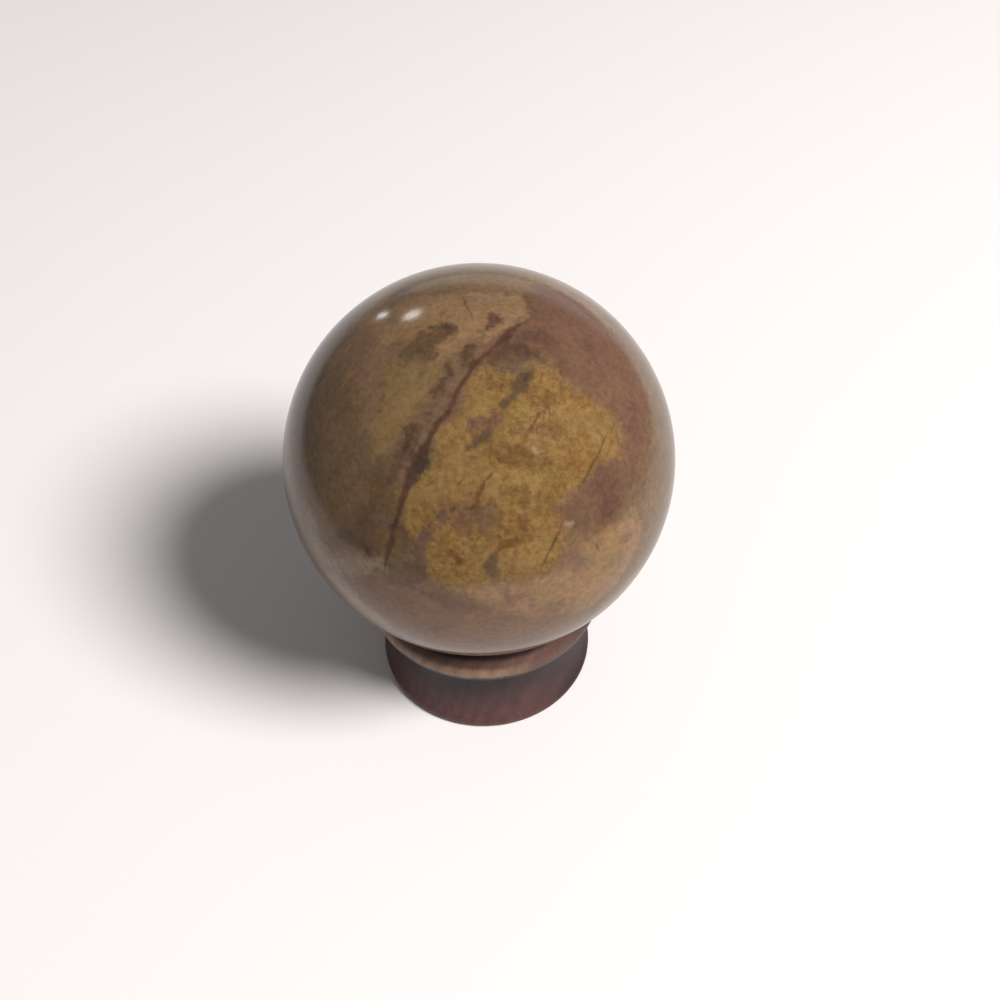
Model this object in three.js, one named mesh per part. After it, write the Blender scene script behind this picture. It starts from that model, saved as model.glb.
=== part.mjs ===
// A polished stone sphere resting on a small turned wooden ring stand.
//
// Millimetres, +Z up. The origin is on the common axis, at the surface that the stand's foot stands on.
// The stand is one turning: a flared foot, a cove, a rounded lip, a dished seat and a hole up its middle.
// The sphere sits in the dished seat by its own weight.

import * as THREE from 'three';

// ---- Driving dimensions ----

const ballRadius = 25;                        // a 50 mm sphere
const ballCentreHeight = 1.63 * ballRadius;   // above the foot's underside
const footRadius = 0.624 * ballRadius;        // the foot at its widest
const lipRadius = 0.676 * ballRadius;         // the lip at its widest, a little wider than the foot
const lipHeight = 0.63 * ballRadius;          // where the lip is widest
const waistRadius = 0.54 * ballRadius;        // the narrowest part of the cove
const boreRadius = 0.345 * ballRadius;        // the hole up the middle
const seatGap = 0.3;                          // between the sphere and the seat made to fit it

// ---- Sizes that follow from them ----

const waistHeight = 0.6 * lipHeight;
const toeRound = 0.03 * ballRadius;           // rounding at the foot's lower corner
const footEdgeHeight = 0.05 * ballRadius;     // top of the foot's thin upright edge
const flareSweep = THREE.MathUtils.degToRad(60);  // the cove's turn from its waist out to the foot
const coveTopHeight = 0.87 * lipHeight;       // where the cove turns out under the lip
const lipUnderReach = 0.052 * ballRadius;     // how far the lip's underside stands out past the cove
const crownRadius = 0.49 * ballRadius;        // the highest circle of the lip
const crownHeight = 0.74 * ballRadius;
const seatOuterRadius = 0.473 * ballRadius;
const seatInnerRadius = 0.373 * ballRadius;
const boreTopRound = 0.03 * ballRadius;       // how far below the seat's inner edge the hole turns upright
const boreFootChamfer = 0.02 * ballRadius;

// ---- Fineness of the facets ----

const aroundSegments = 64;
const ballRings = 32;
const coveSteps = 6;
const lipSteps = 6;
const seatSteps = 4;
const roundSteps = 2;

const stoneFinish = new THREE.MeshStandardMaterial({ color: 0x8c6a43, roughness: 0.1, metalness: 0 });
const woodFinish = new THREE.MeshStandardMaterial({ color: 0x54302a, roughness: 0.35, metalness: 0 });

/** A point of the stand's section: its distance from the axis and its height. */
function at(radius, height) {
  return new THREE.Vector2(radius, height);
}

/**
 * Part of an ellipse from one point of the section to another, without its first point.
 * One of its ends is upright. From there it turns through the sweep, so after a quarter turn its
 * other end is level. The sign of the two differences and which end is upright decide whether it
 * is a round or a cove.
 */
function arc(from, to, startsUpright, steps, sweep = Math.PI / 2) {
  const upright = startsUpright ? from : to;
  const other = startsUpright ? to : from;
  const points = [];
  for (let step = 1; step <= steps; step += 1) {
    const share = startsUpright ? step / steps : 1 - step / steps;
    const outward = (1 - Math.cos(sweep * share)) / (1 - Math.cos(sweep));
    const upward = Math.sin(sweep * share) / Math.sin(sweep);
    points.push(
      at(upright.x + (other.x - upright.x) * outward, upright.y + (other.y - upright.y) * upward),
    );
  }
  return points;
}

/** The height of the seat at a radius: a dish that keeps seatGap all over to the sphere. */
function seatHeight(radius) {
  return ballCentreHeight - Math.sqrt((ballRadius + seatGap) ** 2 - radius ** 2);
}

/** The seat's section, from its outer edge in to its inner edge. */
function seatSection() {
  const points = [];
  for (let step = 0; step <= seatSteps; step += 1) {
    const radius = THREE.MathUtils.lerp(seatOuterRadius, seatInnerRadius, step / seatSteps);
    points.push(at(radius, seatHeight(radius)));
  }
  return points;
}

/** The closed section of the ring, from the underside's inner edge out, up, over the lip and down the hole. */
function ringSection() {
  const undersideInner = at(boreRadius + boreFootChamfer, 0);
  const undersideOuter = at(footRadius - toeRound, 0);
  const toe = at(footRadius, toeRound);
  const footTop = at(footRadius, footEdgeHeight);
  const waist = at(waistRadius, waistHeight);
  const coveTop = at(lipRadius - lipUnderReach, coveTopHeight);
  const lipEdge = at(lipRadius, lipHeight);
  const crown = at(crownRadius, crownHeight);
  const boreTop = at(boreRadius, seatHeight(seatInnerRadius) - boreTopRound);
  const boreFoot = at(boreRadius, boreFootChamfer);
  return [
    undersideInner,
    undersideOuter,
    ...arc(undersideOuter, toe, false, roundSteps),
    footTop,
    ...arc(footTop, waist, false, coveSteps, flareSweep),
    ...arc(waist, coveTop, true, coveSteps),
    ...arc(coveTop, lipEdge, false, roundSteps),
    ...arc(lipEdge, crown, true, lipSteps),
    ...seatSection(),
    boreTop,
    boreFoot,
    undersideInner.clone(),
  ];
}

/** Turns a solid of revolution about Y into one about Z. */
function stoodUp(geometry) {
  return geometry.rotateX(Math.PI / 2);
}

function stoneSphere() {
  const ball = new THREE.Mesh(
    stoodUp(new THREE.SphereGeometry(ballRadius, aroundSegments, ballRings)),
    stoneFinish,
  );
  ball.name = 'stone_sphere';
  ball.position.z = ballCentreHeight;
  return ball;
}

function ringStand() {
  const ring = new THREE.Mesh(stoodUp(new THREE.LatheGeometry(ringSection(), aroundSegments)), woodFinish);
  ring.name = 'ring_stand';
  return ring;
}

const sphereOnStand = new THREE.Group();
sphereOnStand.add(stoneSphere(), ringStand());

export default sphereOnStand;
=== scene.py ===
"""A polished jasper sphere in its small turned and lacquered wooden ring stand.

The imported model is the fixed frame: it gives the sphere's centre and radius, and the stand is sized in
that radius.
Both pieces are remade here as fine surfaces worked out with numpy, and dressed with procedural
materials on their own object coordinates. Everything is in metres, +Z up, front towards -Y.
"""

import logging
import math
from collections.abc import Mapping, Sequence
from dataclasses import dataclass, field
from enum import Enum

import bpy
import numpy as np
from mathutils import Matrix, Quaternion, Vector


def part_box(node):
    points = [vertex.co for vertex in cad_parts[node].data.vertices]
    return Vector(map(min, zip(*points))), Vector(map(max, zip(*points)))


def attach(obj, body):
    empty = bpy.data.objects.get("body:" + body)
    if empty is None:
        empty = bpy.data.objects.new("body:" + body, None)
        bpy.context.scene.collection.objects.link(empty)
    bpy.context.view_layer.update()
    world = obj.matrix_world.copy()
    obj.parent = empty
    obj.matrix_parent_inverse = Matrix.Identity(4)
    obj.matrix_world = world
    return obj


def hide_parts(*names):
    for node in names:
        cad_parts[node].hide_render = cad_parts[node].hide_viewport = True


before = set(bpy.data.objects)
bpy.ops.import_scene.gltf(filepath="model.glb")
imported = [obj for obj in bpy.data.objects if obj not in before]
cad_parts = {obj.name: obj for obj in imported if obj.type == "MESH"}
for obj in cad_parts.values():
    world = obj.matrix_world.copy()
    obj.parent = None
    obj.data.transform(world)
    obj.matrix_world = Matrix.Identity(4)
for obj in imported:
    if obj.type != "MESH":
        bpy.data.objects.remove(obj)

log = logging.getLogger("sphere_on_stand")
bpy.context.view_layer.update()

MM = 0.001
PERCENT = 0.01
Point = tuple[float, float, float]
Socket = bpy.types.NodeSocket


def linear(colour: str) -> tuple[float, float, float, float]:
    """Turns an sRGB hex colour into linear light, with alpha.

    Args:
        colour: six hex digits, such as "a08050".

    Returns:
        Red, green, blue and an alpha of 1, as a shader socket takes them.
    """
    channels = np.array([int(colour[i : i + 2], 16) / 255 for i in (0, 2, 4)])
    low, high = channels / 12.92, ((channels + 0.055) / 1.055) ** 2.4
    red, green, blue = np.where(channels <= 0.04045, low, high)
    return float(red), float(green), float(blue), 1.0


# Blender numbers the sockets of a node. A Mix has its share at 0, and its colours at 6 and 7. A
# Map Range has its value at 0, and takes the range from 1 to 2 to the range from 3 to 4. For
# vectors these are 6, 7, 8, 9 and 10.
COLOURS = {"out": 2, "data_type": "RGBA"}  # settings of a Mix that mixes colours
SOFT = {"interpolation_type": "SMOOTHSTEP"}  # setting of a Map Range that is a soft step
FRACTAL = {"Detail": 5.0, "Roughness": 0.68}  # inputs of a noise that has fine detail in it
NOISE_LOW, NOISE_HIGH = 0.3, 0.7  # nearly all of such a noise lies between these


class Recipe:
    """The node tree of a material or a world, with a short way to add a node to it."""

    def __init__(self, owner: bpy.types.Material | bpy.types.World) -> None:
        """Empties the owner's node tree.

        Args:
            owner: the material or world whose nodes this makes.
        """
        owner.use_nodes = True
        self.owner = owner
        self.tree = owner.node_tree
        self.tree.nodes.clear()

    def add(
        self,
        kind: str,
        inputs: Mapping[int | str, object] | None = None,
        out: int | str = 0,
        **settings: object,
    ) -> Socket | None:
        """Adds one node with its settings and links.

        Args:
            kind: the node's type without its ShaderNode prefix, such as "Math".
            inputs: input name or number to a socket, which is linked, or to a plain value.
            out: which output to give back.
            **settings: the node's own properties.

        Returns:
            That output socket, or nothing if the node has no outputs.
        """
        node = self.tree.nodes.new("ShaderNode" + kind)
        for name, value in settings.items():
            setattr(node, name, value)
        for key, value in (inputs or {}).items():
            if isinstance(value, Socket):
                self.tree.links.new(value, node.inputs[key])
            else:
                node.inputs[key].default_value = value
        return node.outputs[out] if len(node.outputs) else None


# ---------------------------------------------------------------- the stone


FACE_TILT = math.radians(47)
FACE_OUT = np.array([0.0, -math.cos(FACE_TILT), math.sin(FACE_TILT)])
FACE_UP = np.array([0.0, math.sin(FACE_TILT), math.cos(FACE_TILT)])
FACE_RIGHT = np.array([1.0, 0.0, 0.0])
FACE_AXES = np.stack([FACE_RIGHT, FACE_UP, FACE_OUT])

# The veins run in parallel planes, square to this: right, up and out of the face.
VEIN_NORMAL = np.array([0.793, -0.609, -0.024]) @ FACE_AXES

LINE_STEPS = 4  # straight pieces between two points of a smooth line
FAR = 9.0  # farther than anything on the ball, in ball radii
WAVES = 40  # sine waves in a cloudy noise
WAVE_SQUEEZE = 1.3  # extra waves along the veins' normal
FIELD_LIMIT = 0.2  # depths are held within this, in ball radii
LINE_LIMIT = 0.1  # the same for the fields of lines
LINE_REACH = 0.035  # farther than this from a line on the face, its width shrinks to nothing
LINE_GAPS = 0.2  # how far off the face a line fades out, against cloudy noise
LINE_CLOUD = 0.5  # the size of the clouds that do this
SEAM = 0.4  # half the ramp over which lines on the face give way to those round the ball


def on_face(across: np.ndarray, up: np.ndarray) -> np.ndarray:
    """Unit directions on the stone's best face, which looks forwards and up.

    The face is seen square on, and the third part, towards the viewer, is what is left of a unit
    length.

    Args:
        across: how far to the right of the face's middle each lies, in ball radii.
        up: how far above it.

    Returns:
        Rows of unit directions.
    """
    towards = np.sqrt(np.clip(1 - across**2 - up**2, 0, 1))
    return np.stack([across, up, towards], axis=-1) @ FACE_AXES


def smooth_line(points: Sequence[Sequence[float]], closed: bool) -> np.ndarray:
    """A smooth line through the points.

    Between two points b and c, with a before and d after them, it is the Catmull-Rom curve
    b + t (c - a) / 2 + t² (a - 5b / 2 + 2c - d / 2) + t³ (3b - a - 3c + d) / 2.

    Args:
        points: rows of numbers, all of one length.
        closed: whether the last point joins the first.

    Returns:
        The line's points as rows, the last equal to the first when it is closed.
    """
    rows = np.array(points, dtype=float)
    if len(rows) < 3:
        return np.concatenate([rows, rows[:1]]) if len(rows) == 1 else rows
    ends = (rows[-1:], rows[:2]) if closed else (rows[:1], rows[-1:])
    rows = np.concatenate([ends[0], rows, ends[1]])
    a, b, c, d = (rows[start : len(rows) - 3 + start, None] for start in range(4))
    t = (np.arange(LINE_STEPS) / LINE_STEPS)[None, :, None]
    curve = b + t * (c - a) / 2 + t**2 * (a - 2.5 * b + 2 * c - d / 2)
    curve = curve + t**3 * (3 * b - a - 3 * c + d) / 2
    return np.concatenate([curve.reshape(-1, rows.shape[1]), rows[-2:-1]])


def nearest(directions: np.ndarray, line: np.ndarray) -> tuple[np.ndarray, np.ndarray, np.ndarray]:
    """Where a line on the face lies nearest to each direction.

    On the straight piece from A to B the nearest place to P is A + t (B - A), where t is
    (P - A)·(B - A) / |B - A|², held between 0 and 1. P is on the left where P·(A × B) is above 0.

    Args:
        directions: rows of unit directions.
        line: rows of across, up and the reach to each side.

    Returns:
        How far each direction is from the line's reach (below 0 inside it), its distance from
        the line with the side as its sign, and the reach there.
    """
    places, reaches = on_face(line[:, 0], line[:, 1]), line[:, 2]
    beyond, signed, reach = np.full((3, len(directions)), FAR)
    for start, end, wide, wide_end in zip(places[:-1], places[1:], reaches[:-1], reaches[1:]):
        chord = end - start
        square = max(chord @ chord, 1e-12)  # a lone point's chord has no length
        share = np.clip((directions - start) @ chord / square, 0, 1)
        distance = np.linalg.norm(directions - start - share[:, None] * chord, axis=1)
        here = wide + share * (wide_end - wide)
        closer = distance - here < beyond
        beyond = np.where(closer, distance - here, beyond)
        side = np.where(directions @ np.cross(start, end) > 0, 1, -1)
        signed = np.where(closer, side * distance, signed)
        reach = np.where(closer, here, reach)
    return beyond, signed, reach


def soft_waves(directions: np.ndarray, wavelength: float, seed: int) -> np.ndarray:
    """Smooth cloudy noise over the ball, about -2 to 2, flattened along the veins' planes.

    It is the sum of sines of k·P + phase, over random wave vectors k of about that wavelength,
    with the part of P along the veins' normal counted more than twice over.

    Args:
        directions: rows of unit directions.
        wavelength: the size of a cloud, in ball radii.
        seed: picks the waves.

    Returns:
        One number for each direction.
    """
    random = np.random.default_rng(seed)
    waves = random.normal(size=(3, WAVES)) * (2 / wavelength)
    phases = random.uniform(0, 2 * math.pi, WAVES)
    squeezed = directions + WAVE_SQUEEZE * (directions @ VEIN_NORMAL)[:, None] * VEIN_NORMAL
    return np.sin(squeezed @ waves + phases).sum(axis=1) / math.sqrt(WAVES / 2)


class Mottle(Enum):
    """How the two colours of a kind of stone are mixed over its area."""

    GRAIN = "fine granular speckle with a net of darker lines"
    CLOUD = "soft clouds a few millimetres wide"
    STREAK = "streaks that run along the veins"


@dataclass(frozen=True)
class Patch:
    """One patch of a kind of stone on the face, in hundredths of the ball's radius.

    Filled, its points are its outline. Otherwise they are a line, drawn like a brush stroke, and
    the third number of each is how far the stroke reaches to both sides there. A lone point makes
    a round spot.
    """

    points: tuple[tuple[float, ...], ...]
    filled: bool

    def depth(self, directions: np.ndarray) -> np.ndarray:
        """How deep each direction lies inside the patch, in ball radii, below 0 outside it.

        A direction is inside a filled outline where a level ray from it crosses the outline an
        odd number of times.

        Args:
            directions: rows of unit directions.

        Returns:
            One depth for each direction.
        """
        line = smooth_line(self.points, self.filled) * PERCENT
        if not self.filled:
            return -nearest(directions, line)[0]
        across, up, _ = (directions @ FACE_AXES.T).T
        inside = np.zeros(len(directions), bool)
        for (x, y), (next_x, next_y) in zip(line[:-1], line[1:]):
            if y != next_y:
                crossing = x + (next_x - x) * (up - y) / (next_y - y)
                inside ^= ((y > up) != (next_y > up)) & (across < crossing)
        distance = nearest(directions, np.column_stack([line, np.zeros(len(line))]))[0]
        return np.where(inside, distance, -distance)


def area(*points: tuple[float, float]) -> Patch:
    """A filled outline."""
    return Patch(points, filled=True)


def stroke(*points: tuple[float, float, float]) -> Patch:
    """A line with a reach to each side."""
    return Patch(points, filled=False)


@dataclass(frozen=True)
class Layer:
    """One colouring of the jasper: its two colours and how they mix, and its edge.

    `soft` is how far the edge fades to each side and `ragged` how far noise moves it, in ball
    radii. `strength` is how much of what lies below it covers.
    """

    name: str
    light: str
    dark: str
    mottle: Mottle
    soft: float
    ragged: float
    strength: float = field(default=1.0, kw_only=True)


@dataclass(frozen=True)
class Kind(Layer):
    """One kind of stone in the jasper, and where it lies.

    Away from the face it lies where cloudy noise of size `cloud` is above `rare`.
    """

    rare: float
    cloud: float
    patches: tuple[Patch, ...]

    def fields(self, directions: np.ndarray, face: np.ndarray) -> dict[str, np.ndarray]:
        """How deep each direction lies inside this kind, below 0 outside it.

        On the face it is the deepest of the patches, and towards the face's rim it gives way to
        cloudy noise less its threshold, as a length.

        Args:
            directions: rows of unit directions.
            face: how much each belongs to the face, from 0 to 1.

        Returns:
            The depth in ball radii, under the kind's name.
        """
        seed = sum(map(ord, self.name))
        depth = (soft_waves(directions, self.cloud, seed) - self.rare) * self.cloud / 4
        near = face > 0
        drawn = np.max([patch.depth(directions[near]) for patch in self.patches], axis=0)
        drawn = np.clip(drawn, -FIELD_LIMIT, FIELD_LIMIT)
        depth[near] += face[near] * (drawn - depth[near])
        return {self.name: np.clip(depth, -FIELD_LIMIT, FIELD_LIMIT)}

    def depth(self, recipe: Recipe, edges: Sequence[Socket]) -> Socket:
        """The nodes of its depth, after one of the edges' noises has moved it.

        Args:
            recipe: where the nodes go.
            edges: three unlike noises. The length of the kind's name picks one.

        Returns:
            The depth.
        """
        depth = recipe.add("Attribute", out="Fac", attribute_name=self.name)
        noise = edges[len(self.name) % len(edges)]
        return recipe.add("Math", {0: noise, 1: self.ragged, 2: depth}, operation="MULTIPLY_ADD")


@dataclass(frozen=True)
class Lines(Layer):
    """Narrow veins or cracks that share one colour.

    Each path is a line of across, up and half its width there, in hundredths of the ball's
    radius, and its ends run out to less than nothing. Round the rest of the ball they follow
    parallel planes, `spacing` ball radii apart. `noise` says which of the edges' noises bends
    them, and `start` where the first plane lies.
    """

    spacing: float
    start: float
    half_width: float
    noise: int
    paths: tuple[tuple[tuple[float, float, float], ...], ...]

    def fields(self, directions: np.ndarray, face: np.ndarray) -> dict[str, np.ndarray]:
        """The signed distance from the nearest line, and half the line's width there.

        Away from the face the distance is sin(k (n·P - start)) / k, with n the veins' normal and
        k pi over the spacing, and the width comes and goes with cloudy noise. Where one line gives
        way to the next the width is below nothing, so that no false line shows there.

        Args:
            directions: rows of unit directions.
            face: how much each belongs to the face, from 0 to 1.

        Returns:
            The two fields in ball radii, under the lines' name and what they are.
        """
        turn = math.pi / self.spacing
        across = np.sin(turn * (directions @ VEIN_NORMAL - self.start)) / turn
        gaps = soft_waves(directions, LINE_CLOUD, seed=len(self.name)) - LINE_GAPS
        half = self.half_width * gaps
        near = face > 0.5
        beyond, signed, width = np.full((3, near.sum()), FAR)
        for path in self.paths:
            line = smooth_line(path, closed=False) * PERCENT
            away, side, reach = nearest(directions[near], line)
            closer = away < beyond
            beyond = np.where(closer, away, beyond)
            signed = np.where(closer, side, signed)
            width = np.where(closer, reach, width)
        across[near] = signed
        half[near] = width - 2 * np.clip(np.abs(signed) - LINE_REACH, 0, LINE_LIMIT)
        seam = np.clip(1 - np.abs(face - 0.5) / SEAM, 0, 1)
        half = np.clip(half, -LINE_LIMIT, LINE_LIMIT) - LINE_LIMIT * seam
        across = np.clip(across, -LINE_LIMIT, LINE_LIMIT)
        return {self.name + "_across": across, self.name + "_half": half}

    def depth(self, recipe: Recipe, edges: Sequence[Socket]) -> Socket:
        """The nodes of half the width less the distance, both after noise has moved them.

        Args:
            recipe: where the nodes go.
            edges: three unlike noises.

        Returns:
            The depth.
        """
        moved = []
        for end, noise in (("_across", edges[self.noise]), ("_half", edges[2])):
            value = recipe.add("Attribute", out="Fac", attribute_name=self.name + end)
            shifted = {0: noise, 1: self.ragged, 2: value}
            moved.append(recipe.add("Math", shifted, operation="MULTIPLY_ADD"))
        across, half = moved
        across = recipe.add("Math", {0: across}, operation="ABSOLUTE")
        return recipe.add("Math", {0: half, 1: across}, operation="SUBTRACT")


GROUND = ("705840", "634d37")
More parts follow.
